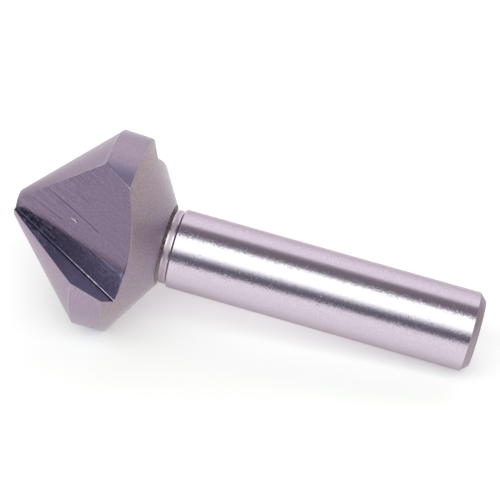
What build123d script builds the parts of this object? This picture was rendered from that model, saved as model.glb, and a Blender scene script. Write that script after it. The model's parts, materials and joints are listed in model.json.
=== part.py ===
"""Three-flute 90 degree countersink bit with a plain cylindrical shank, one solid piece of tool steel.

The bit is drawn about its own axis, with +Z from the point towards the shank and z = 0 at the sharp
apex that the cutting cone would have without its flat tip. It is then laid down as it rests on a
table: on one corner of the head at each side of a flute, and on the rim of the shank.
"""

import os
from math import acos, atan2, cos, degrees, hypot, radians, sin, tan

from build123d import *

# Driving dimensions, in millimetres and degrees.
overall_length = 71.0
head_diameter = 30.0
cone_angle = 90.0
tip_diameter = 4.5
land_length = 4.9
back_cone_angle = 115.6

shank_diameter = 12.0
shank_length = 46.05
shank_chamfer = 1.05
neck_diameter = 11.3
shoulder_length = 0.3
back_cone_foot_diameter = 12.5
groove_diameter = 10.9
groove_width = 0.45

flute_count = 3
root_angle = 31.0  # between the root of a flute and the axis of the bit
root_offset = 0.47  # how far the root passes beside the axis
rake_turn = 39.4  # from the outward direction to the rake face, about the root
flute_opening = 78.4  # between the rake face and the wall of the flute
root_radius = 0.25

relief_offset = 0.35  # from the axis of the bit to the axis that a tooth's flank is ground about
relief_lead = 33.0  # from that offset to the start of the relief, about the axis
relief_start = -30.0  # azimuth of that start, in the open flute, from the azimuth of its root
relief_arc = 80.0

# Radii and heights along the axis.
head_radius = head_diameter / 2
shank_radius = shank_diameter / 2
tip_radius = tip_diameter / 2
neck_radius = neck_diameter / 2
groove_radius = groove_diameter / 2
foot_radius = back_cone_foot_diameter / 2
cone_slope = tan(radians(cone_angle / 2))
back_slope = tan(radians(back_cone_angle / 2))

tip_height = tip_radius / cone_slope
land_front = head_radius / cone_slope
land_back = land_front + land_length
back_cone_foot = land_back + (head_radius - foot_radius) / back_slope
neck_front = back_cone_foot + groove_width
shank_end = tip_height + overall_length
shank_start = shank_end - shank_length
neck_back = shank_start - shoulder_length
chamfer_start = shank_end - shank_chamfer

# The relief's cone has its apex a little above the bit's own, and both cutters reach past the body.
relief_apex = relief_offset * cos(radians(relief_lead)) / cone_slope
relief_inner_radius = tip_radius / 2
relief_outer_radius = head_radius + 2.0
flute_reach = 2.5 * head_radius
flute_run = 2 * head_radius

flute_facing_down = 1  # counted from the flute with its root at azimuth 0
rim_steps = 6  # the lowest point of the shank rim and the slope of the table are settled in turn


def radial(azimuth):
    """Unit vector square to the axis, at an azimuth in degrees from +X."""
    return Vector(cos(radians(azimuth)), sin(radians(azimuth)), 0)


def flute_plane(azimuth):
    """Plane square to a flute's root, its origin on the root, its +X outward and its +Y tangential."""
    tangent = radial(azimuth + 90)
    root = radial(azimuth) * sin(radians(root_angle)) + Vector(0, 0, 1) * cos(radians(root_angle))
    return Plane(origin=tangent * -root_offset, x_dir=tangent.cross(root), z_dir=root)


def relief_plane(azimuth):
    """Plane through the axis that a tooth's flank is ground about, at the start of its relief."""
    centre = radial(azimuth + relief_start - relief_lead) * relief_offset
    outward = radial(azimuth + relief_start)
    return Plane(origin=centre, x_dir=outward, z_dir=outward.cross(Vector(0, 0, 1)))


def land_corner(flute, turn, height):
    """Point of the land, at a height, where a flute's face leaves it, turned about the root from outward."""
    along = flute.x_dir * cos(radians(turn)) + flute.y_dir * sin(radians(turn))
    normal = along.cross(flute.z_dir)
    middle = degrees(atan2(normal.Y, normal.X))
    level = normal.dot(flute.origin - Vector(0, 0, height))
    spread = degrees(acos(level / hypot(normal.X, normal.Y) / head_radius))
    corners = [radial(middle + side * spread) * head_radius + Vector(0, 0, height) for side in (-1, 1)]
    return max(corners, key=lambda corner: (corner - flute.origin).dot(along))


def table_plane(flute):
    """Plane of the table that the bit lies on with a flute facing down, +X towards the shank."""
    axis = Vector(0, 0, 1)
    rake_corner = land_corner(flute, -rake_turn, land_front)
    wall_corner = land_corner(flute, -rake_turn - flute_opening, land_back)
    down = rake_corner + wall_corner
    for _ in range(rim_steps):
        rim_point = radial(degrees(atan2(down.Y, down.X))) * shank_radius + axis * chamfer_start
        down = (wall_corner - rim_point).cross(rake_corner - rim_point).normalized()
    across = axis.cross(down)
    return Plane(origin=rim_point, x_dir=down.cross(across), z_dir=-down)


flutes = [flute_plane(360 / flute_count * number) for number in range(flute_count)]
reliefs = [relief_plane(360 / flute_count * number) for number in range(flute_count)]

with BuildPart() as countersink_bit:
    # The turned blank: cutting cone, land, back cone, groove, neck and shank.
    with BuildSketch(Plane.XZ):
        with BuildLine():
            Polyline(
                (0, tip_height),
                (tip_radius, tip_height),
                (head_radius, land_front),
                (head_radius, land_back),
                (foot_radius, back_cone_foot),
                (groove_radius, back_cone_foot),
                (groove_radius, neck_front),
                (neck_radius, neck_front),
                (neck_radius, neck_back),
                (shank_radius, shank_start),
                (shank_radius, chamfer_start),
                (shank_radius - shank_chamfer, shank_end),
                (0, shank_end),
                close=True,
            )
        make_face()
    revolve(axis=Axis.Z)

    # Relief: each tooth's flank falls away behind its cutting edge, on a cone about an offset axis.
    for relief in reliefs:
        with BuildSketch(relief):
            with BuildLine():
                Polyline(
                    (relief_inner_radius, relief_apex + relief_inner_radius / cone_slope),
                    (relief_outer_radius, relief_apex + relief_outer_radius / cone_slope),
                    (relief_outer_radius, 0),
                    (relief_inner_radius, 0),
                    close=True,
                )
            make_face()
        revolve(axis=Axis(relief.origin, (0, 0, 1)), revolution_arc=relief_arc, mode=Mode.SUBTRACT)

    # Flutes: straight V grooves with a small radius at the root, which climb outward to the back cone.
    for flute in flutes:
        with BuildSketch(flute.offset(-flute_run / 2)) as flute_section:
            with BuildLine():
                rake_line = PolarLine((0, 0), flute_reach, -rake_turn)
                wall_line = PolarLine((0, 0), flute_reach, -rake_turn - flute_opening)
                Line(rake_line @ 1, wall_line @ 1)
            make_face()
            fillet(flute_section.vertices().sort_by_distance((0, 0, 0))[0], radius=root_radius)
        extrude(amount=2 * flute_run, mode=Mode.SUBTRACT)

# Laid on the table, with the origin on the table under the middle of the bit.
table = table_plane(flutes[flute_facing_down])
lying_box = table.to_local_coords(countersink_bit.part).bounding_box()
lying_centre = Vector(lying_box.center().X, lying_box.center().Y, lying_box.min.Z)
table.origin = table.from_local_coords(lying_centre)
countersink_bit.part = table.to_local_coords(countersink_bit.part)

countersink_bit.part.label = "countersink_bit"
os.makedirs("parts", exist_ok=True)
export_step(countersink_bit.part, "parts/countersink_bit.step")
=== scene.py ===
"""Blender scene of the countersink bit: its ground and coated surfaces, on a pale floor in studio light.

The bit is drawn in its own frame, +Z from the point towards the shank and z = 0 at the sharp apex
that its cutting cone would have. The record's mounts say where that frame lies in the row frame.
Sizes are in millimetres until a mesh is made.
"""

import json
import math

import bmesh
import bpy
from mathutils import Matrix, Quaternion, Vector


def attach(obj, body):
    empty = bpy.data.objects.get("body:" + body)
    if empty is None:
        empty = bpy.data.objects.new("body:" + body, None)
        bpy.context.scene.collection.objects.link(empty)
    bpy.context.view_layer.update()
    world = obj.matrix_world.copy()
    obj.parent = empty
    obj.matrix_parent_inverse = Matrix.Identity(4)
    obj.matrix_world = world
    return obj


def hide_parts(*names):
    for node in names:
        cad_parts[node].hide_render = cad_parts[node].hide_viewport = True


MM = 0.001

# The bit, as the CAD model has it.
OVERALL_LENGTH = 71.0
HEAD_RADIUS = 15.0
TIP_RADIUS = 2.25
LAND_LENGTH = 4.9
BACK_SLOPE = math.tan(math.radians(57.8))
SHANK_RADIUS = 6.0
SHANK_LENGTH = 46.05
SHANK_CHAMFER = 1.05
NECK_RADIUS = 5.65
SHOULDER_LENGTH = 0.3
FOOT_RADIUS = 6.25
GROOVE_RADIUS = 5.45
GROOVE_WIDTH = 0.45

FLUTE_COUNT = 3
FINISHES = "flank wall rake root back groove neck shank chamfer end tip edge".split()
ROOT_ANGLE = math.radians(31.0)  # between a flute's root and the axis
ROOT_OFFSET = 0.47  # how far the root passes beside the axis
ROOT_RADIUS = 0.25
RAKE_DEGREES = -39.4  # from the outward direction to the rake face, about the root
FLUTE_OPENING = 78.4  # degrees between the rake face and the wall
RAKE_TURN = math.radians(RAKE_DEGREES)
WALL_TURN = math.radians(RAKE_DEGREES - FLUTE_OPENING)

RELIEF_OFFSET = 0.35  # of the relieved cone's axis from the bit's
RELIEF_AZIMUTH = math.radians(-63.0)  # of that offset, from the root ahead of the tooth
RELIEF_LEAD = math.radians(33.0)  # from that offset to the start of the relief
RELIEF_APEX = RELIEF_OFFSET * math.cos(RELIEF_LEAD)

DOWN_AZIMUTH = math.radians(75.32)  # from the root of the front flute to straight down

# Heights along the axis.
TIP = TIP_RADIUS
LAND_FRONT = HEAD_RADIUS
LAND_BACK = LAND_FRONT + LAND_LENGTH
FOOT = LAND_BACK + (HEAD_RADIUS - FOOT_RADIUS) / BACK_SLOPE
NECK_FRONT = FOOT + GROOVE_WIDTH
SHANK_END = TIP + OVERALL_LENGTH
SHANK_START = SHANK_END - SHANK_LENGTH
NECK_BACK = SHANK_START - SHOULDER_LENGTH
CHAMFER_START = SHANK_END - SHANK_CHAMFER

# Mesh density.
FLANK_ROWS = 16
LAND_ROWS = 6
EXIT_STEPS = 20
TOOTH_COLUMNS = 24
ROOT_STEPS = 6
BACK_ROWS = 10
TURN = 2 * math.pi / FLUTE_COUNT
# The stretches of one sector's boundary on the back cone, and the degrees that end them at its foot.
RING_STEPS = (EXIT_STEPS, ROOT_STEPS, EXIT_STEPS, TOOTH_COLUMNS)
FOOT_TURNS = (-60, 5, 25, 38, 60)
# Steps of the searches for where a flute's side cuts a tooth, and where its root leaves the back cone.
EDGE_SETTLINGS = 12
ROOT_HALVINGS = 40
WELD = 0.002
FLUTE_SHIFT = 40.0  # added to the place along the root for each flute, so that their lines differ

# The broken edges: how far the widest reach on each side, and the finishes that those lie between.
EDGE_WIDTH = 0.22
WIDE_EDGES = [{"flank"}, {"flank", "wall"}, {"back", "groove"}, {"groove", "neck"}]
PLAIN_WEIGHT = 0.35  # of the other edges' reach to that
EDGE_ANGLE = math.radians(24)  # a smaller turn of the surface is not an edge
EDGE_SEGMENTS = 2

# Finishes. Places on a flute's sides are millimetres along its root and away from it. Those on a tooth
# are degrees round from its flute's root, and height. A pair of places says where a change begins and
# ends. Four numbers are two values, and then the places, or values of a noise, where they are reached.
SOFT = (0.25, 0.75)  # parts of a noise's range: the narrower, the harder its contrast
EVEN = (0.3, 0.7)
CRISP = (0.35, 0.65)
SHARP = (0.42, 0.58)
MOTTLE_SCALE = 2.4  # spots to the millimetre

CONE = (0.362, 0.274, 0.368)
LAND = (0.395, 0.312, 0.405)
LAND_BLEND = 0.3  # height over which the cone's colour goes over to the land's
FLANK_MOTTLE = 0.12
FLANK_RINGS = (0.4, 0.4, 7)  # spots to the millimetre across and along the axis
# Painted shade at the heels of the cones near the point: its colour, and where it begins and ends.
HEEL_PAINTED_SHADE = (0.25, 0.195, 0.265)
HEEL_PAINTED_SHADE_TURN = (5, 45)
HEEL_PAINTED_SHADE_HEIGHT = (3.5, 12)
HEEL_BLUE = (0.41, 0.355, 0.53)
HEEL_BLUE_TURN = (24, 32)
HEEL_BLUE_HEIGHT = (13, 16)

WALL = (0.223, 0.167, 0.255)
WALL_MOTTLE = 0.15
# Slopes of the wall's bump away from the root, and the places along the root where they are reached.
WALL_TWIST = (0.145, -0.045)
WALL_ENDS = (3, 22)
TWIST_REACH = (6.0, 3.0)  # how far from the root the slope goes, and over what distance it ends
FINE_LINES = (0.12, 3.8, 1.0)  # lines to the millimetre along and across the root
COARSE_LINES = (0.06, 1.9, 1.0)
GRIND_TURN = math.radians(2)  # between the lines and the root
RIDGE_PITCH = 0.55
RIDGE_WOBBLE = 0.5
RIDGE_FADE = (10, 15)
LINE_FADE = (9, 15)
LINE_END = 0.3  # what is left of the lines beyond that
LINE_SHADE = 0.115
LINE_DEPTH = 0.002
# Scratches, nicks and streaks: start and end, each along and away from the root, and width.
SCRATCHES = [
    ((7.6, 6.8), (17.3, 7.0), 0.16),
    ((4.6, 3.65), (10.8, 4.2), 0.13),
    ((13.0, 5.95), (13.5, 5.8), 0.2),
]
SCRATCH_SHADE = 0.62
SCRATCH_DEPTH = 0.012
NICKS = [
    ((12.2, 5.62), (12.65, 5.58), 0.14),
    ((12.7, 5.73), (13.3, 5.63), 0.18),
]
NICK = (0.75, 0.66, 0.66)
STREAKS = [
    ((12.5, 3.3), (23, 3.3), 0.22),
    ((17.0, 3.95), (23, 3.95), 0.2),
]
STREAK_LIGHT = (1.55, 1.25)

# The painted reflection of the dark rake face, a strip by the root: its width at the apex, the slope by
# which it widens, how ragged and how blurred its edge is, and its colours. The veil is painted shade:
# how much darker the wall is just beyond its far end.
REFLECTION_START = 0.5
REFLECTION_SLOPE = 0.165
REFLECTION_RAGGED = 0.2
REFLECTION_BLUR = 0.3
REFLECTION_FADE = (6, 17)
REFLECTION_TIP = (0.105, 0.09, 0.15)
REFLECTION_FAR = (0.36, 0.30, 0.495)
REFLECTION_MOTTLE = 0.42
VEIL_SHADE = 0.42
VEIL_SHADE_FADE = (13, 20)
VEIL_SHADE_WIDTH = 1.6

RAKE = (0.090, 0.076, 0.125)
RAKE_TIP = (0.065, 0.060, 0.105)
RAKE_FADE = (5, 14)
RAKE_LINES = (0.75, 1.25)
RAKE_MOTTLE = 0.4
# Painted glints beside the root, towards the point: their colour, size, contrast and fade.
GLINT = (0.52, 0.47, 0.66)
GLINT_SCALE = (1.0, 2.6, 1.0)  # spots to the millimetre along and across the root
GLINT_RANGE = (0.5, 0.64)
GLINT_FADE = (8, 14)
CREASE_SHADE = 0.5  # painted shade: how much darker the rake face is beside the root
CREASE_SHADE_WIDTH = (0.3, 0.5)

# The round root: its painted highlight, its painted shade, its dull colour near the point, and where
# these change.
ROOT_HIGHLIGHT = (0.53, 0.465, 0.63)
ROOT_SHADE = (0.06, 0.055, 0.09)
ROOT_TIP = (0.08, 0.072, 0.12)
ROOT_SIDES = (-0.02, 0.05)  # places sideways from the middle of the root
ROOT_FADE = (12, 19)
ROOT_PATCHES = (0.35, 1.3)
ROOT_PATCH_SCALE = (0.9, 0, 0)

BACK = (0.37, 0.278, 0.395)
BACK_OCHRE = (0.375, 0.275, 0.235)
BACK_FADE = (LAND_BACK + 1, FOOT)
OCHRE_LEFT = 0.15  # of the ochre stipple at the foot
FOOT_SHADE = 0.88  # painted shade of the back cone at its foot
BACK_SPECKS = (0.82, 1.18)

# The turned surfaces. Places below the axis are millimetres, as the bit lies.
GROOVE = (0.13, 0.09, 0.095)
GROOVE_FLOOR_LIGHT = (0.42, 0.36, 0.38)
GROOVE_FLOOR_LIGHT_FADE = (-3.5, 2.5)  # painted light from the floor, by place below the axis
GROOVE_SPECKS = (0.3, 2.4, 0.38, 0.62)
NECK = (0.65, 0.545, 0.63)
NECK_UNDERSIDE_SHADE = (1.0, 0.64, -1.5, 3.0)  # painted shade on the underside, by place below the axis
NECK_GLOSS = (0.5, 0.24, 0.15, 0.42)  # roughness, by distance from the neck's middle
NECK_LINES = (0.84, 1.16)
NECK_RINGS = (0.5, 0.5, 3.5)
STEEL = (0.665, 0.588, 0.680)
SHANK_MARKS = (4.5, 4.5, 5.2)
SHANK_CONTRAST = (0.91, 1.07)
SHANK_TILT = 0.15
SHANK_UNDERSIDE_SHADE = (1.0, 0.84, 1.0, 2.5)  # painted shade on the underside, by place below the axis
SHANK_RIM = (0.7, 0.62, 0.66)
CHAMFER = (0.40, 0.33, 0.385)
TURNED_CONTRAST = 0.07
TIP_SHADE = 0.85

# The broken edges: worn bright steel painted near-white as a highlight, and their dull colour elsewhere.
EDGE_WEAR_HIGHLIGHT = (0.95, 0.84, 0.94)
EDGE_DULL = (0.34, 0.28, 0.35)
EDGE_PATCHES = (0.36, 0.5)
EDGE_WORN_HIGHLIT = (8, 11)  # heights between which the worn places, painted bright as highlights, begin

FLOOR_SIZE = 3.0  # metres
FLOOR_COLOUR = (0.925, 0.9, 0.9)
FLOOR_GLOW = 0.28

# Studio light round the row's X axis: (degrees up from the front horizon, colour) at each change.
DIM = (0.10, 0.09, 0.14)
DIM_TOP = (0.17, 0.145, 0.175)
DIM_UPPER = (0.25, 0.21, 0.24)
BOX = (1.78, 1.95, 1.82)
WALLS = (1.08, 1.06, 1.08)
FAR = (0.8, 0.8, 0.8)
BANDS = [
    (0, DIM),
    (23, DIM),
    (40, BOX),
    (75, BOX),
    (80, DIM_TOP),
    (96, DIM_TOP),
    (113, DIM_UPPER),
    (118, WALLS),
    (143, WALLS),
    (180, FAR),
]
# The dark end of the studio, by how far a direction is along +X.
END_FROM, END_TO, END_LEVEL = 0.55, 0.95, 0.3

# Camera, in metres in the row frame.
CAMERA_PLACE = Vector((0.037136, -0.198205, 0.163468))
CAMERA_AIM = Vector((0.000006, 0.001767, 0.012336))
CAMERA_ROLL = math.radians(3.76)
CAMERA_LENS = 122.64
CAMERA_SENSOR = 36
CAMERA_CLIP = 0.01

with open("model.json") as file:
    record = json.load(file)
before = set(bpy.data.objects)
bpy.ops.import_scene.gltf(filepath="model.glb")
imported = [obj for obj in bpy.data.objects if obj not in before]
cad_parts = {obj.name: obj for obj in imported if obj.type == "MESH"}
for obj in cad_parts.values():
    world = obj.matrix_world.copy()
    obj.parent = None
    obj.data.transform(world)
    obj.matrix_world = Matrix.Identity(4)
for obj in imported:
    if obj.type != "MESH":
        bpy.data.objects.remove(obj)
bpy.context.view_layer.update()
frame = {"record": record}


def bit_matrix():
    """Matrix that takes the bit's own frame to the row frame, from the record's shank end mount."""
    mount = {row["name"]: row for row in frame["record"]["mounts"]}["shank_end"]
    axis = Vector(mount["axis"]).normalized()
    down = (Vector((0, 0, -1)) - axis * -axis.z).normalized()
    zero = Matrix.Rotation(-DOWN_AZIMUTH, 3, axis) @ down
    origin = Vector(mount["pos_m"]) - axis * SHANK_END * MM
    turned = Matrix((zero, axis.cross(zero), axis)).transposed()
    return Matrix.Translation(origin) @ turned.to_4x4()


def radial(azimuth):
    """Unit vector square to the bit's axis, at an azimuth."""
    return Vector((math.cos(azimuth), math.sin(azimuth), 0))


class Face:
    """One flat side of the flute whose root rises towards an azimuth."""

    def __init__(self, turn, azimuth):
        tangent = radial(azimuth + math.pi / 2)
        self.root = radial(azimuth) * math.sin(ROOT_ANGLE) + Vector((0, 0, math.cos(ROOT_ANGLE)))
        self.origin = tangent * -ROOT_OFFSET
        self.outward = tangent.cross(self.root)
        self.tangent = tangent
        self.along = self.outward * math.cos(turn) + tangent * math.sin(turn)
        self.normal = self.along.cross(self.root)
        # On the face, across * radius * cos(azimuth - middle) + normal.z * height is level.
        self.across = math.hypot(self.normal.x, self.normal.y)
        self.middle = math.atan2(self.normal.y, self.normal.x)
        self.level = self.normal.dot(self.origin)

    def azimuth_at(self, height, radius):
        """Azimuth where the face crosses the circle at a height, on the side that the face is on."""
        spread = math.acos((self.level - self.normal.z * height) / self.across / radius)
        sides = [self.middle - spread, self.middle + spread]
        return max(sides, key=lambda side: (radial(side) * radius - self.origin).dot(self.along))

    def back_height(self, azimuth):
        """Height where the face crosses the back cone at an azimuth."""
        across = self.across * math.cos(azimuth - self.middle)
        start = HEAD_RADIUS + BACK_SLOPE * LAND_BACK
        return (self.level - across * start) / (self.normal.z - across * BACK_SLOPE)


def flank_radius(azimuth, height):
    """Radius of the relieved cone of the tooth that follows the flute at azimuth 0."""
    lead = RELIEF_OFFSET * math.cos(azimuth - RELIEF_AZIMUTH)
    return lead + math.sqrt((height - RELIEF_APEX) ** 2 - RELIEF_OFFSET**2 + lead**2)


def flank_end(azimuth):
    """Height where that tooth's flank meets the land."""
    centre = radial(RELIEF_AZIMUTH) * RELIEF_OFFSET
    return RELIEF_APEX + (radial(azimuth) * HEAD_RADIUS - centre).length


def back_radius(height):
    """Radius of the back cone at a height."""
    return HEAD_RADIUS - BACK_SLOPE * (height - LAND_BACK)


def flank_point(azimuth, share):
    """Point of that tooth's flank, by its share of the way from the tip to the land."""
    height = TIP + share * (flank_end(azimuth) - TIP)
    return radial(azimuth) * flank_radius(azimuth, height) + Vector((0, 0, height))


def land_point(azimuth, share):
    """Point of that tooth's land, by its share of the way from the flank to the back cone."""
    height = flank_end(azimuth) + share * (LAND_BACK - flank_end(azimuth))
    return radial(azimuth) * HEAD_RADIUS + Vector((0, 0, height))


def edge_azimuth(face, point_at, share, guess):
    """Azimuth where a face of a flute cuts a row of a tooth, found by settling."""
    for _ in range(EDGE_SETTLINGS):
        point = point_at(guess, share)
        guess = face.azimuth_at(point.z, math.hypot(point.x, point.y))
    return guess


def mix(a, b, share):
    """The value at a share of the way from a to b."""
    return a + (b - a) * share


def tooth_rows(rake, heel):
    """Rows of points over a tooth's flank and over its land, from its cutting edge to its heel."""
    flank, land = [], []
    for rows, point_at, count in ((flank, flank_point, FLANK_ROWS), (land, land_point, LAND_ROWS)):
        for row in range(count + 1):
            share = row / count
            first = edge_azimuth(rake, point_at, share, rake.middle)
            last = edge_azimuth(heel, point_at, share, heel.middle)
            last += 2 * math.pi if last < first else 0
            azimuths = [mix(first, last, column / TOOTH_COLUMNS) for column in range(TOOTH_COLUMNS + 1)]
            rows.append([point_at(azimuth, share) for azimuth in azimuths])
    return flank, land


def outer_row(face, heel_or_edge, start, end):
    """A face's outer boundary: the tooth's heel or cutting edge, then points across the back cone."""
    points = []
    for step in range(1, EXIT_STEPS + 1):
        azimuth = mix(start, end, step / EXIT_STEPS)
        height = face.back_height(azimuth)
        points.append(radial(azimuth) * back_radius(height) + Vector((0, 0, height)))
    return heel_or_edge + points


def root_lines(face):
    """Ends, at the tip and at the back cone, of the lines that make the small round root of a flute."""
    half = (RAKE_TURN - WALL_TURN) / 2
    middle = (RAKE_TURN + WALL_TURN) / 2
    centre = Vector((math.cos(middle), math.sin(middle))) * ROOT_RADIUS / math.sin(half)
    lines = []
    for step in range(ROOT_STEPS + 1):
        # From square to the wall, round to square to the rake face.
        turn = mix(WALL_TURN + 1.5 * math.pi, RAKE_TURN + 0.5 * math.pi, step / ROOT_STEPS)
        spot = centre + Vector((math.cos(turn), math.sin(turn))) * ROOT_RADIUS
        base = face.origin + face.outward * spot.x + face.tangent * spot.y
        tip = base + face.root * ((TIP - base.z) / face.root.z)
        low, high = 0.0, 2 * HEAD_RADIUS
        for _ in range(ROOT_HALVINGS):
            point = tip + face.root * (low + high) / 2
            inside = math.hypot(point.x, point.y) < back_radius(point.z)
            low, high = ((low + high) / 2, high) if inside else (low, (low + high) / 2)
        lines.append((tip, point))
    return lines


def head_sector():
    """One tooth and the flute ahead of it: grids of points, each with the name of its finish, then the
    points of their boundary on the back cone, and those on the tip.
    """
    wall, rake = Face(WALL_TURN, 0), Face(RAKE_TURN, 0)
    heel = Face(WALL_TURN, TURN)
    flank, land = tooth_rows(rake, heel)
    back_turn = Matrix.Rotation(-TURN, 3, "Z")
    lines = root_lines(wall)
    exit_azimuths = [math.atan2(line[1].y, line[1].x) for line in (lines[0], lines[-1])]
    heel_column = [back_turn @ row[-1] for row in flank + land[1:]]
    edge_column = [row[0] for row in flank + land[1:]]
    starts = [math.atan2(column[-1].y, column[-1].x) for column in (heel_column, edge_column)]
    wall_edge = outer_row(wall, heel_column, starts[0], exit_azimuths[0])
    rake_edge = outer_row(rake, edge_column, starts[1], exit_azimuths[1])
    reach = [point.dot(rake.root) for point in rake_edge]
    shares = [(place - reach[0]) / (reach[-1] - reach[0]) for place in reach]
    root = [[mix(tip, end, share) for share in shares] for tip, end in lines]

    ring = wall_edge[-EXIT_STEPS - 1 :] + [line[1] for line in lines[1:]]
    ring += rake_edge[-EXIT_STEPS - 1 : -1][::-1] + land[-1][1:]
    grids = [
        ("flank", flank),
        ("flank", land),
        ("wall", [wall_edge, root[0]]),
        ("root", root),
        ("rake", [root[-1], rake_edge]),
    ]
    tip_loop = [wall_edge[0]] + [line[0] for line in lines] + flank[0][:-1]
    return grids, ring, tip_loop


def shank_profile():
    """Corners (radius, height) of the turned profile, each with the finish of the stretch after it."""
    return [
        (FOOT_RADIUS, FOOT, "groove"),
        (GROOVE_RADIUS, FOOT, "groove"),
        (GROOVE_RADIUS, NECK_FRONT, "groove"),
        (NECK_RADIUS, NECK_FRONT, "neck"),
        (NECK_RADIUS, NECK_BACK, "neck"),
        (SHANK_RADIUS, SHANK_START, "shank"),
        (SHANK_RADIUS, mix(SHANK_START, CHAMFER_START, 1 / 3), "shank"),
        (SHANK_RADIUS, mix(SHANK_START, CHAMFER_START, 2 / 3), "shank"),
        (SHANK_RADIUS, CHAMFER_START, "chamfer"),
        (SHANK_RADIUS - SHANK_CHAMFER, SHANK_END, "end"),
        (SHANK_RADIUS / 2, SHANK_END, "end"),
    ]


class MeshMaker:
    """Patches of faces, each with its finish, which are welded where their borders meet."""

    def __init__(self, finishes):
        self.mesh = bmesh.new()
        self.uv = self.mesh.loops.layers.uv.new("place")
        self.finishes = finishes

    def face(self, corners, finish, uv=None):
        face = self.mesh.faces.new(corners)
        face.material_index = self.finishes.index(finish)
        face.smooth = True
        for loop in face.loops:
            loop[self.uv].uv = uv(loop.vert.co) if uv else (0, 0)

    def loop(self, points, finish):
        self.face([self.mesh.verts.new(point) for point in points], finish)

    def grid(self, rows, finish, uv=None):
        made = [[self.mesh.verts.new(point) for point in row] for row in rows]
        for row, after in zip(made, made[1:]):
            for column in range(len(row) - 1):
                self.face((row[column], row[column + 1], after[column + 1], after[column]), finish, uv)

    def finished(self, name):
        bmesh.ops.remove_doubles(self.mesh, verts=self.mesh.verts, dist=WELD)
        bmesh.ops.recalc_face_normals(self.mesh, faces=self.mesh.faces)
        weight = self.mesh.edges.layers.float.new("bevel_weight_edge")
        for edge in self.mesh.edges:
            if edge.calc_face_angle() > EDGE_ANGLE:
                sides = {self.finishes[face.material_index] for face in edge.link_faces}
                edge[weight] = 1.0 if sides in WIDE_EDGES else PLAIN_WEIGHT
        mesh = bpy.data.meshes.new(name)
        self.mesh.to_mesh(mesh)
        self.mesh.free()
        return mesh


def sector_places(number):
    """For each finish of a numbered sector, the map from a point to its place on the surface."""
    azimuth = number * TURN
    face = Face(WALL_TURN, azimuth)
    shift = number * FLUTE_SHIFT

    def side_place(point):
        return point.dot(face.root) + shift, (point - face.origin).cross(face.root).length

    def root_place(point):
        return point.dot(face.root) + shift, (point - face.origin).dot(face.outward)

    def tooth_place(point):
        turn = math.atan2(point.y, point.x) - azimuth
        return math.degrees((turn + TURN / 2) % (2 * math.pi) - TURN / 2), point.z

    return {"flank": tooth_place, "wall": side_place, "rake": side_place, "root": root_place}


def back_rows(top, foot):
    """Rows of points down the back cone, from its boundary with the lands and flutes to its foot."""
    rows = []
    for row in range(BACK_ROWS + 1):
        share = row / BACK_ROWS
        points = []
        for start, azimuth in zip(top, foot):
            first = math.atan2(start.y, start.x)
            turn = (azimuth - first + math.pi) % (2 * math.pi) - math.pi
            height = mix(start.z, FOOT, share)
            points.append(radial(first + turn * share) * back_radius(height) + Vector((0, 0, height)))
        rows.append(points + points[:1])
    return rows


def bit_mesh():
    """The whole bit: one sector repeated about the axis, then the turned surfaces behind it."""
    maker = MeshMaker(FINISHES)
    grids, ring, tip_loop = head_sector()
    columns = []
    for steps, start, end in zip(RING_STEPS, FOOT_TURNS, FOOT_TURNS[1:]):
        columns += [math.radians(mix(start, end, step / steps)) for step in range(steps)]
    tip_face, top, foot = [], [], []
    for number in range(FLUTE_COUNT):
        turn = Matrix.Rotation(number * TURN, 3, "Z")
        places = sector_places(number)
        for finish, rows in grids:
            maker.grid([[turn @ point for point in row] for row in rows], finish, places[finish])
        tip_face += [turn @ point for point in tip_loop]
        top += [turn @ point for point in ring[:-1]]
        foot += [number * TURN + azimuth for azimuth in columns]
    maker.loop(tip_face, "tip")

    def ring_points(radius, height):
        return [radial(azimuth) * radius + Vector((0, 0, height)) for azimuth in foot + foot[:1]]

    maker.grid(back_rows(top, foot), "back")
    profile = shank_profile()
    for (radius, height, finish), (next_radius, next_height, _) in zip(profile, profile[1:]):
        maker.grid([ring_points(radius, height), ring_points(next_radius, next_height)], finish)
    maker.loop(ring_points(*profile[-1][:2])[:-1], "end")
    mesh = maker.finished("countersink_bit_ground")
    mesh.transform(bit_matrix() @ Matrix.Scale(MM, 4))
    return mesh


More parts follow.
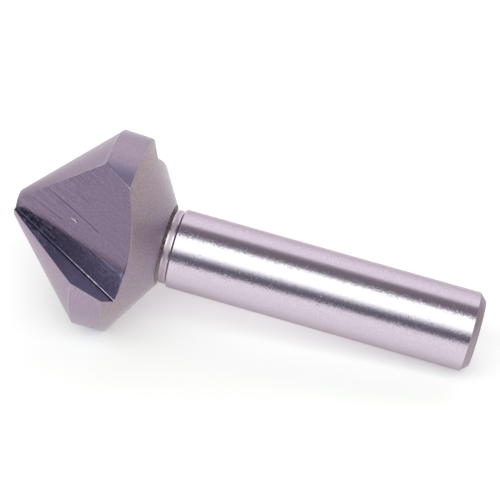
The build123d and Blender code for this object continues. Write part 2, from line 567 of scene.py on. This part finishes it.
class Nodes:
    """A node tree, with short calls that add a node and join its inputs."""

    def __init__(self, tree):
        self.nodes = tree.nodes
        self.links = tree.links

    def feed(self, socket, value):
        if isinstance(value, bpy.types.NodeSocket):
            self.links.new(value, socket)
        else:
            socket.default_value = value

    def add(self, kind, *inputs, **settings):
        node = self.nodes.new("ShaderNode" + kind)
        named = settings.pop("named", {})
        for name, value in settings.items():
            setattr(node, name, value)
        for number, value in enumerate(inputs):
            if value is not None:
                self.feed(node.inputs[number], value)
        for name, value in named.items():
            self.feed(node.inputs[name], value)
        return node

    def math(self, operation, first, second=0.5):
        return self.add("Math", first, second, operation=operation).outputs[0]

    def times(self, first, *others):
        for other in others:
            first = self.math("MULTIPLY", first, other)
        return first

    def plus(self, first, second):
        return self.math("ADD", first, second)

    def ramp(self, value, low, high, start=0.0, end=1.0):
        """Low where the value is at start, high where it is at end, and straight in between."""
        named = {"Value": value, "From Min": start, "From Max": end, "To Min": low, "To Max": high}
        return self.add("MapRange", named=named).outputs[0]

    def tint(self, value, low, high):
        """A colour from low to high as the value goes from 0 to 1; either colour may be a socket."""
        node = self.add("Mix", data_type="RGBA")
        self.feed(node.inputs[0], value)
        for number, colour in ((6, low), (7, high)):
            made = isinstance(colour, bpy.types.NodeSocket)
            self.feed(node.inputs[number], colour if made else (*colour, 1))
        return node.outputs[2]

    def shaded(self, colour, factor):
        """The colour times a factor; both may be sockets."""
        return self.add("VectorMath", colour, named={"Scale": factor}, operation="SCALE").outputs[0]

    def noise(self, point, scale=1.0, detail=2.0, roughness=0.5):
        """A noise from 0 to 1; its scale is about how many spots there are to the point's unit."""
        named = {"Vector": point, "Scale": scale, "Detail": detail, "Roughness": roughness}
        return self.add("TexNoise", named=named).outputs["Fac"]

    def stretched(self, point, scale):
        return self.add("VectorMath", point, scale, operation="MULTIPLY").outputs[0]


class Finish(Nodes):
    """A material, of the bit or of the floor."""

    def __init__(self, name, colour, roughness, metallic=1.0):
        self.material = bpy.data.materials.new(name)
        self.material.use_nodes = True
        super().__init__(self.material.node_tree)
        self.shader = self.nodes["Principled BSDF"]
        self.set("Base Color", (*colour, 1))
        self.set("Metallic", metallic)
        self.set("Roughness", roughness)

    def set(self, name, value):
        self.feed(self.shader.inputs[name], value)

    def tool_point(self, scale=(1, 1, 1)):
        """The point in the bit's own frame in millimetres, stretched by scale."""
        into = bit_matrix().inverted()
        place = self.add("TexCoord").outputs["Object"]
        point = self.add("Mapping", place, into.translation / MM, into.to_euler())
        point.inputs["Scale"].default_value = (1 / MM,) * 3
        return self.stretched(point.outputs[0], scale)

    def below(self):
        """How far the point is below the bit's axis, as the bit lies, in millimetres."""
        down = tuple(radial(DOWN_AZIMUTH))
        product = self.add("VectorMath", self.tool_point(), down, operation="DOT_PRODUCT")
        return product.outputs["Value"]

    def height(self):
        """The height of the point along the bit's axis, in millimetres."""
        return self.add("SeparateXYZ", self.tool_point()).outputs[2]

    def place(self):
        """The two coordinates of the "place" map, and both as one point."""
        point = self.add("UVMap", uv_map="place").outputs[0]
        parts = self.add("SeparateXYZ", point)
        return parts.outputs[0], parts.outputs[1], point

    def bump(self, height, depth):
        """The normal bent by a height, of which 1 stands for a depth in millimetres."""
        named = {"Height": height, "Distance": depth * MM, "Strength": 1.0}
        return self.add("Bump", named=named).outputs[0]

    def mottle(self, spread):
        """A fine mottle: a factor within about spread of 1."""
        spots = self.noise(self.tool_point(), MOTTLE_SCALE, detail=4.0, roughness=0.7)
        return self.ramp(spots, 1 - spread, 1 + spread, *EVEN)

    def stroke(self, along, away, start, end, width):
        """1 on a straight scratch from start to end, both (along, away) in millimetres, and 0 off it."""
        slope = (end[1] - start[1]) / (end[0] - start[0])
        middle = self.plus(self.times(along, slope), start[1] - slope * start[0])
        off = self.math("ABSOLUTE", self.math("SUBTRACT", away, middle))
        line = self.ramp(off, 1, 0, width / 4, width / 2)
        begun = self.ramp(along, 0, 1, start[0] - width, start[0] + width)
        ended = self.ramp(along, 1, 0, end[0] - width, end[0] + width)
        return self.times(line, begun, ended)


def scaled(colour, factor):
    """A plain colour times a factor."""
    return tuple(value * factor for value in colour)


def flank_finish():
    """The coated cones and lands: mottled, with faint rings, with painted shade at the heels of the cones
    near the point, and bluer at the heels of the lands.
    """
    finish = Finish("coated_flank", CONE, roughness=0.33, metallic=0.88)
    turn, height, _ = finish.place()
    # Painted shade at the heels of the cones near the point.
    heel = finish.ramp(turn, 0, 1, *HEEL_PAINTED_SHADE_TURN)
    heel = finish.times(heel, finish.ramp(height, 1, 0, *HEEL_PAINTED_SHADE_HEIGHT))
    blue = finish.ramp(turn, 0, 1, *HEEL_BLUE_TURN)
    blue = finish.times(blue, finish.ramp(height, 0, 1, *HEEL_BLUE_HEIGHT))
    plain = finish.tint(finish.ramp(height, 0, 1, LAND_FRONT - LAND_BLEND, LAND_FRONT), CONE, LAND)
    colour = finish.tint(blue, finish.tint(heel, plain, HEEL_PAINTED_SHADE), HEEL_BLUE)
    finish.set("Base Color", finish.shaded(colour, finish.mottle(FLANK_MOTTLE)))
    rings = finish.noise(finish.tool_point(FLANK_RINGS))
    finish.set("Normal", finish.bump(rings, depth=0.004))
    return finish.material


def ground_lines(finish, point, scale, detail=3.0):
    """Lines that the grinding wheel left along the root, as a noise."""
    turned = finish.add("Mapping", point, None, (0, 0, -GRIND_TURN)).outputs[0]
    return finish.noise(finish.stretched(turned, scale), detail=detail, roughness=0.6)


def wall_finish():
    """A flute's wall: wheel lines, ridges near the point, scratches, and a dark blue strip by the root
    that is a painted reflection of the rake face, with painted shade just beyond its far end.

    The slope of its bump moves the mirrored edge of the rake face to where the photo has it.
    """
    finish = Finish("ground_flute_wall", WALL, roughness=0.17, metallic=0.78)
    shifted, away, point = finish.place()
    along = finish.math("MODULO", shifted, FLUTE_SHIFT)
    fine = finish.ramp(ground_lines(finish, point, FINE_LINES), -1, 1, *SOFT)
    coarse = finish.ramp(ground_lines(finish, point, COARSE_LINES, detail=1.0), -1, 1, *EVEN)
    wobble = finish.plus(away, finish.times(coarse, RIDGE_WOBBLE))
    ridges = finish.math("SINE", finish.times(wobble, 2 * math.pi / RIDGE_PITCH))
    ridges = finish.times(ridges, finish.ramp(along, 1, 0, *RIDGE_FADE))
    lines = finish.plus(fine, finish.plus(coarse, ridges))
    lines = finish.times(lines, finish.ramp(along, 1, LINE_END, *LINE_FADE))
    factor = finish.plus(finish.times(lines, LINE_SHADE), 1)
    height = finish.times(lines, LINE_DEPTH)
    for start, end, width in SCRATCHES:
        scratch = finish.stroke(shifted, away, start, end, width)
        factor = finish.times(factor, finish.ramp(scratch, 1, SCRATCH_SHADE))
        height = finish.math("SUBTRACT", height, finish.times(scratch, SCRATCH_DEPTH))
    reach = finish.add("Math", away, *TWIST_REACH, operation="SMOOTH_MIN").outputs[0]
    height = finish.plus(height, finish.times(reach, finish.ramp(along, *WALL_TWIST, *WALL_ENDS)))

    # The painted reflection of the dark rake face: where its edge lies, and its colour.
    edge = finish.plus(finish.times(along, REFLECTION_SLOPE), REFLECTION_START)
    past = finish.plus(finish.math("SUBTRACT", away, edge), finish.times(coarse, REFLECTION_RAGGED))
    painted_reflection = finish.tint(finish.ramp(along, 0, 1, *REFLECTION_FADE), REFLECTION_TIP, REFLECTION_FAR)
    # Painted glints within the painted reflection, towards the point.
    painted_reflection = finish.tint(glint_flecks(finish, along, point), painted_reflection, GLINT)
    for (start, end, width), light in zip(STREAKS, STREAK_LIGHT):
        streak = finish.stroke(along, away, start, end, width)
        factor = finish.times(factor, finish.ramp(streak, 1, light))
    # Painted shade on the wall just beyond the far end of the painted reflection.
    veil_shade = finish.times(finish.ramp(past, VEIL_SHADE, 0, 0, VEIL_SHADE_WIDTH), finish.ramp(along, 0, 1, *VEIL_SHADE_FADE))
    plain = finish.shaded(WALL, finish.times(finish.ramp(veil_shade, 1, 0), finish.mottle(WALL_MOTTLE)))
    painted_reflection = finish.shaded(painted_reflection, finish.mottle(REFLECTION_MOTTLE))
    inside = finish.ramp(past, 1, 0, -REFLECTION_BLUR, REFLECTION_BLUR)
    colour = finish.shaded(finish.tint(inside, plain, painted_reflection), factor)
    nick = finish.stroke(shifted, away, *NICKS[0])
    for stroke in NICKS[1:]:
        nick = finish.plus(nick, finish.stroke(shifted, away, *stroke))
    finish.set("Base Color", finish.tint(nick, colour, NICK))
    finish.set("Normal", finish.bump(height, depth=1))
    return finish.material


def glint_flecks(finish, along, point):
    """Where the painted glints beside the root are, towards the point."""
    spots = finish.ramp(ground_lines(finish, point, GLINT_SCALE), 0, 1, *GLINT_RANGE)
    return finish.times(spots, finish.ramp(along, 1, 0, *GLINT_FADE))


def rake_finish():
    """A rake face: dark, with painted glints towards the point, and painted shade, nearly black, beside
    the far part of the root.
    """
    finish = Finish("ground_rake_face", RAKE, roughness=0.3, metallic=0.78)
    shifted, away, point = finish.place()
    along = finish.math("MODULO", shifted, FLUTE_SHIFT)
    colour = finish.tint(finish.ramp(along, 0, 1, *RAKE_FADE), RAKE_TIP, RAKE)
    fine = ground_lines(finish, point, FINE_LINES)
    # Painted shade in the crease beside the far part of the root.
    crease_shade = finish.times(finish.ramp(away, CREASE_SHADE, 0, *CREASE_SHADE_WIDTH), finish.ramp(along, 0, 1, *ROOT_FADE))
    lines = finish.ramp(fine, *RAKE_LINES, *SOFT)
    factor = finish.times(lines, finish.ramp(crease_shade, 1, 0), finish.mottle(RAKE_MOTTLE))
    colour = finish.shaded(colour, factor)
    finish.set("Base Color", finish.tint(glint_flecks(finish, along, point), colour, GLINT))
    finish.set("Normal", finish.bump(fine, depth=0.003))
    return finish.material


def root_finish():
    """The small round root: a painted highlight on the wall's side far from the point, painted shade on
    the rake's side there, dull elsewhere.
    """
    finish = Finish("flute_root_highlight", ROOT_HIGHLIGHT, roughness=0.35, metallic=0.9)
    shifted, side, point = finish.place()
    along = finish.math("MODULO", shifted, FLUTE_SHIFT)
    patches = finish.noise(finish.stretched(point, ROOT_PATCH_SCALE), detail=3.0, roughness=0.7)
    # Painted highlight on the root's wall side, painted shade on its rake side.
    bright = finish.shaded(ROOT_HIGHLIGHT, finish.ramp(patches, *ROOT_PATCHES, *CRISP))
    far = finish.tint(finish.ramp(side, 0, 1, *ROOT_SIDES), bright, ROOT_SHADE)
    finish.set("Base Color", finish.tint(finish.ramp(along, 0, 1, *ROOT_FADE), ROOT_TIP, far))
    return finish.material


def back_finish():
    """The dull back cone: lavender grey with a stipple that is ochre towards its rim, and painted shade
    at its foot.
    """
    finish = Finish("dull_back_cone", BACK, roughness=0.45, metallic=0.6)
    point = finish.tool_point()
    height = finish.height()
    grain = finish.ramp(finish.noise(point, scale=2.6, detail=3.0, roughness=0.8), 0, 1, *SHARP)
    rim = finish.ramp(height, 1, OCHRE_LEFT, *BACK_FADE)
    colour = finish.tint(finish.times(grain, rim), BACK, BACK_OCHRE)
    specks = finish.ramp(finish.noise(point, scale=3.6, roughness=0.6), *BACK_SPECKS, *EVEN)
    # Painted shade, darker towards the foot by the groove.
    shade = finish.ramp(height, 1, FOOT_SHADE, *BACK_FADE)
    finish.set("Base Color", finish.shaded(colour, finish.times(specks, shade)))
    finish.set("Sheen Weight", 0.6)
    finish.set("Sheen Roughness", 0.25)
    finish.set("Sheen Tint", (0.9, 0.88, 1, 1))
    finish.set("Coat Weight", 0.55)
    finish.set("Coat Roughness", 0.2)
    finish.set("Normal", finish.bump(finish.noise(point, scale=4.0), depth=0.03))
    return finish.material


def turned_lines(finish, scale):
    """Fine lines round the axis, as a noise."""
    return finish.noise(finish.tool_point(scale), detail=3.0, roughness=0.65)


def turned_finish(name, colour, roughness, scale, depth):
    """A turned surface with fine lines; scale is their number to the millimetre in x, y and z."""
    finish = Finish(name, colour, roughness)
    lines = turned_lines(finish, scale)
    shade = finish.ramp(lines, 1 - TURNED_CONTRAST, 1 + TURNED_CONTRAST, *EVEN)
    finish.set("Base Color", finish.shaded(colour, shade))
    finish.set("Normal", finish.bump(lines, depth))
    return finish.material


def groove_finish():
    """The groove: nearly black with specks, and painted light from the floor on the side that the bit
    lies on.
    """
    finish = Finish("dark_groove", GROOVE, roughness=0.5)
    specks = finish.noise(finish.tool_point(), scale=3.0, detail=3.0, roughness=0.8)
    specks = finish.ramp(specks, *GROOVE_SPECKS)
    # Painted light from the floor on the side that the bit lies on.
    low = finish.ramp(finish.below(), 0, 1, *GROOVE_FLOOR_LIGHT_FADE)
    finish.set("Base Color", finish.tint(low, finish.shaded(GROOVE, specks), GROOVE_FLOOR_LIGHT))
    finish.set("Normal", finish.bump(specks, depth=0.01))
    return finish.material


def neck_finish():
    """The turned neck: dull round its middle, glossier towards both ends, and painted shade underneath.
    """
    finish = Finish("turned_neck", NECK, NECK_GLOSS[0])
    lines = turned_lines(finish, NECK_RINGS)
    # Painted shade on the underside, as the bit lies.
    shade = finish.times(finish.ramp(lines, *NECK_LINES, *EVEN), finish.ramp(finish.below(), *NECK_UNDERSIDE_SHADE))
    finish.set("Base Color", finish.shaded(NECK, shade))
    middle = (NECK_FRONT + NECK_BACK) / 2
    off = finish.math("ABSOLUTE", finish.math("SUBTRACT", finish.height(), middle))
    finish.set("Roughness", finish.ramp(off, *NECK_GLOSS))
    finish.set("Normal", finish.bump(lines, depth=0.006))
    return finish.material


def shank_finish():
    """Ground steel: short marks tilt the normal round the axis, so that reflections look grained."""
    finish = Finish("ground_shank", STEEL, roughness=0.23)
    marks = finish.noise(finish.tool_point(SHANK_MARKS), detail=1.5, roughness=0.6)
    shade = finish.ramp(marks, *SHANK_CONTRAST, *EVEN)
    # Painted shade on the underside, as the bit lies.
    shade = finish.times(shade, finish.ramp(finish.below(), *SHANK_UNDERSIDE_SHADE))
    finish.set("Base Color", finish.shaded(STEEL, shade))
    plain = finish.add("NewGeometry").outputs["Normal"]
    axis = bit_matrix().to_3x3() @ Vector((0, 0, 1))
    across = finish.add("VectorMath", tuple(axis), plain, operation="CROSS_PRODUCT").outputs[0]
    lean = finish.ramp(marks, -1, 1, *SOFT)
    tilt = finish.shaded(across, finish.times(lean, lean, lean, SHANK_TILT))
    summed = finish.add("VectorMath", plain, tilt, operation="ADD").outputs[0]
    finish.set("Normal", finish.add("VectorMath", summed, operation="NORMALIZE").outputs[0])
    finish.set("Specular Tint", (*SHANK_RIM, 1))
    return finish.material


def edge_finish():
    """The fine broken edges: worn to bright steel in places, and painted near-white there as a highlight.
    """
    finish = Finish("worn_edge_highlight", EDGE_WEAR_HIGHLIGHT, roughness=0.5, metallic=0.1)
    # Worn places, painted near-white as a highlight.
    worn = finish.noise(finish.tool_point(), scale=0.6, detail=3.0, roughness=0.7)
    worn = finish.ramp(worn, 0, 1, *EDGE_PATCHES)
    worn = finish.times(worn, finish.ramp(finish.height(), 0, 1, *EDGE_WORN_HIGHLIT))
    finish.set("Base Color", finish.tint(worn, EDGE_DULL, EDGE_WEAR_HIGHLIGHT))
    return finish.material


def finishes():
    """The material of each finish, by its name in FINISHES."""
    return {
        "flank": flank_finish(),
        "wall": wall_finish(),
        "rake": rake_finish(),
        "root": root_finish(),
        "back": back_finish(),
        "groove": groove_finish(),
        "neck": neck_finish(),
        "shank": shank_finish(),
        "chamfer": turned_finish("turned_chamfer", CHAMFER, 0.5, (0.6, 0.6, 6), depth=0.008),
        "end": turned_finish("faced_end", STEEL, 0.35, (3, 3, 3), depth=0.004),
        "tip": turned_finish("coated_tip", scaled(CONE, TIP_SHADE), 0.4, (4, 4, 4), depth=0.004),
        "edge": edge_finish(),
    }


def make_bit():
    """The dressed bit, which stands for the CAD node."""
    mesh = bit_mesh()
    made = finishes()
    for name in FINISHES:
        mesh.materials.append(made[name])
    bit = bpy.data.objects.new("countersink_bit_ground", mesh)
    bpy.context.scene.collection.objects.link(bit)
    edges = bit.modifiers.new("edges", "BEVEL")
    edges.limit_method = "WEIGHT"
    edges.width = EDGE_WIDTH * MM
    edges.segments = EDGE_SEGMENTS
    edges.material = FINISHES.index("edge")
    shading = bit.modifiers.new("shading", "WEIGHTED_NORMAL")
    shading.keep_sharp = True
    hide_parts("countersink_bit")
    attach(bit, "root")


def make_floor():
    """A plain pale floor."""
    mesh = bmesh.new()
    bmesh.ops.create_grid(mesh, x_segments=1, y_segments=1, size=FLOOR_SIZE)
    data = bpy.data.meshes.new("studio_floor")
    mesh.to_mesh(data)
    mesh.free()
    floor = bpy.data.objects.new("studio_floor", data)
    bpy.context.scene.collection.objects.link(floor)
    paint = Finish("pale_floor", FLOOR_COLOUR, roughness=0.8, metallic=0.0)
    paint.set("Emission Color", (1, 1, 1, 1))
    paint.set("Emission Strength", FLOOR_GLOW)
    paint.set("Specular IOR Level", 0.0)
    data.materials.append(paint.material)


def make_light():
    """The studio: bands of light round the row's X axis, and a dark end towards +X."""
    world = bpy.data.worlds.new("studio")
    world.use_nodes = True
    bpy.context.scene.world = world
    studio = Nodes(world.node_tree)
    parts = studio.add("SeparateXYZ", studio.add("TexCoord").outputs["Generated"])
    angle = studio.math("ARCTAN2", parts.outputs[2], studio.times(parts.outputs[1], -1))
    ramp = studio.add("ValToRGB", studio.math("DIVIDE", angle, math.pi))
    bright = max(BOX)
    stops = ramp.color_ramp.elements
    for number, (degrees, colour) in enumerate(BANDS):
        stop = stops[number] if number < len(stops) else stops.new(degrees / 180)
        stop.position = degrees / 180
        stop.color = (*scaled(colour, 1 / bright), 1)
    shade = studio.add("MapRange", parts.outputs[0], END_FROM, END_TO, 1, END_LEVEL)
    shade.interpolation_type = "SMOOTHSTEP"
    background = studio.nodes["Background"]
    studio.feed(background.inputs["Color"], ramp.outputs[0])
    studio.feed(background.inputs["Strength"], studio.times(shade.outputs[0], bright))


def make_camera():
    """The camera that was fitted to the photo."""
    data = bpy.data.cameras.new("camera")
    data.lens = CAMERA_LENS
    data.sensor_width = CAMERA_SENSOR
    data.clip_start = CAMERA_CLIP
    camera = bpy.data.objects.new("camera", data)
    bpy.context.scene.collection.objects.link(camera)
    camera.location = CAMERA_PLACE
    turn = (CAMERA_AIM - CAMERA_PLACE).to_track_quat("-Z", "Y") @ Quaternion((0, 0, 1), CAMERA_ROLL)
    camera.rotation_mode = "QUATERNION"
    camera.rotation_quaternion = turn
    bpy.context.scene.camera = camera


make_bit()
make_floor()
make_light()
make_camera()
bpy.context.scene.view_settings.view_transform = "Standard"

bpy.context.view_layer.update()
